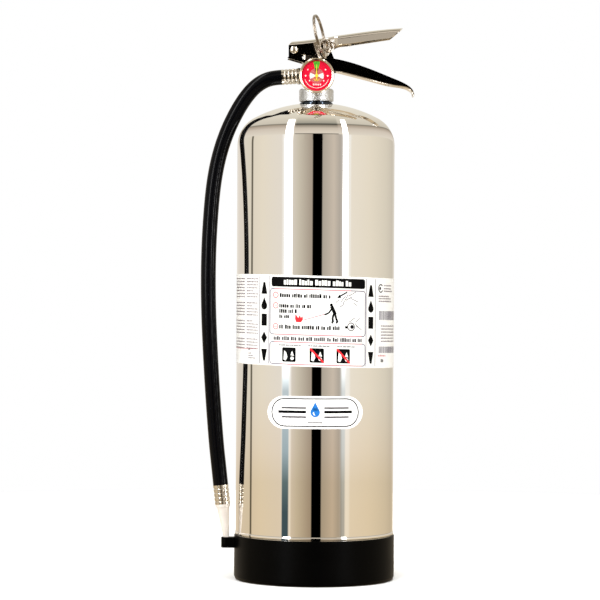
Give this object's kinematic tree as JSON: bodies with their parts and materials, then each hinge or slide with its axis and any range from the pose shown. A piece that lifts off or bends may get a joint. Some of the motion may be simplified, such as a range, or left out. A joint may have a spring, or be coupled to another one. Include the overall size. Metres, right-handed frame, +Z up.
{
  "type": "fire extinguisher",
  "caption": "Upright stainless water extinguisher with squeeze grips, pull pin and ring, pressure gauge, side hose with metal nozzle, and a black base boot.",
  "frame": {"origin": "on the tank's axis, in the plane of the floor it stands on", "axes": "+Z up the tank, -Y out of the gauge and the printed front, +X along the grips"},
  "size_m": [0.2394, 0.1862, 0.6344],
  "materials": {
    "polished_steel": "mirror polished",
    "pressed_steel": "polished pressed sheet",
    "valve_metal": "plated",
    "nozzle_metal": "polished",
    "boot_plastic": "moulded satin",
    "hose_rubber": "cloth-wrapped",
    "label_film": "printed film",
    "decal_film": "printed film",
    "seal_rubber": "smooth",
    "inner_plastic": "natural",
    "spring_steel": "drawn wire",
    "gauge_metal": "plated",
    "dial_print": "printed",
    "needle_yellow": "painted",
    "clear_lens": "clear",
    "brass": "turned"
  },
  "bodies": {
    "tank": {"tank_shell": "polished_steel", "tank_bottom": "polished_steel", "neck_ring": "polished_steel", "boot": "boot_plastic", "nozzle_socket": "boot_plastic", "hanger_loop": "pressed_steel", "instruction_label": "label_film", "front_decal": "decal_film", "collar_nut": "valve_metal", "collar_o_ring": "seal_rubber", "valve_body": "valve_metal", "overfill_tube": "inner_plastic", "tube_retainer": "brass", "siphon_tube": "inner_plastic", "stem_spring": "spring_steel", "handle": "pressed_steel", "handle_rivets": "valve_metal", "gauge_case": "gauge_metal", "gauge_bourdon": "brass", "gauge_dial": "dial_print", "gauge_lens": "clear_lens", "charging_valve": "brass", "charging_core": "brass", "outlet_coupling": "valve_metal", "outlet_gasket": "seal_rubber", "hose_ferrule_upper": "valve_metal", "hose": "hose_rubber", "hose_ferrule_lower": "valve_metal", "nozzle": "nozzle_metal"},
    "lever": {"lever": "pressed_steel", "lever_pivot_rivet": "valve_metal"},
    "valve_stem": {"valve_stem": "valve_metal", "stem_seal": "seal_rubber", "stem_o_ring": "seal_rubber"},
    "pull_pin": {"pull_pin": "spring_steel"},
    "pull_ring": {"pull_ring": "spring_steel"},
    "gauge_needle": {"gauge_needle": "needle_yellow"},
    "charging_cap": {"charging_cap": "valve_metal"}
  },
  "joints": [
    {"name": "lever_squeeze", "type": "hinge", "parent": "tank", "child": "lever", "pos_m": [-0.0255, 0, 0.5975], "axis": [0, 1, 0], "range_deg": [0, 9], "stiffness_Nm_per_rad": 5, "springref_deg": -3.44},
    {"name": "stem_slide", "type": "slide", "parent": "tank", "child": "valve_stem", "axis": [0, 0, -1], "range_m": [0, 0.0045], "deforming": ["stem_spring"]},
    {"name": "pull_pin_slide", "type": "slide", "parent": "lever", "child": "pull_pin", "axis": [0, -1, 0], "range_m": [0, 0.045]},
    {"name": "pull_ring_swing", "type": "hinge", "parent": "pull_pin", "child": "pull_ring", "pos_m": [0.009, -0.023, 0.6017], "axis": [0, 1, 0], "range_deg": [-15, 30]},
    {"name": "gauge_needle_turn", "type": "hinge", "parent": "tank", "child": "gauge_needle", "pos_m": [0, -0.034, 0.5665], "axis": [0, 1, 0], "range_deg": [-110, 60]},
    {"name": "charging_cap_off", "type": "slide", "parent": "tank", "child": "charging_cap", "axis": [0, 1, 0], "range_m": [0, 0.016]}
  ],
  "couplings": [
    {"joint": "stem_slide", "follows": "lever_squeeze", "m_per_rad": 0.0255}
  ]
}
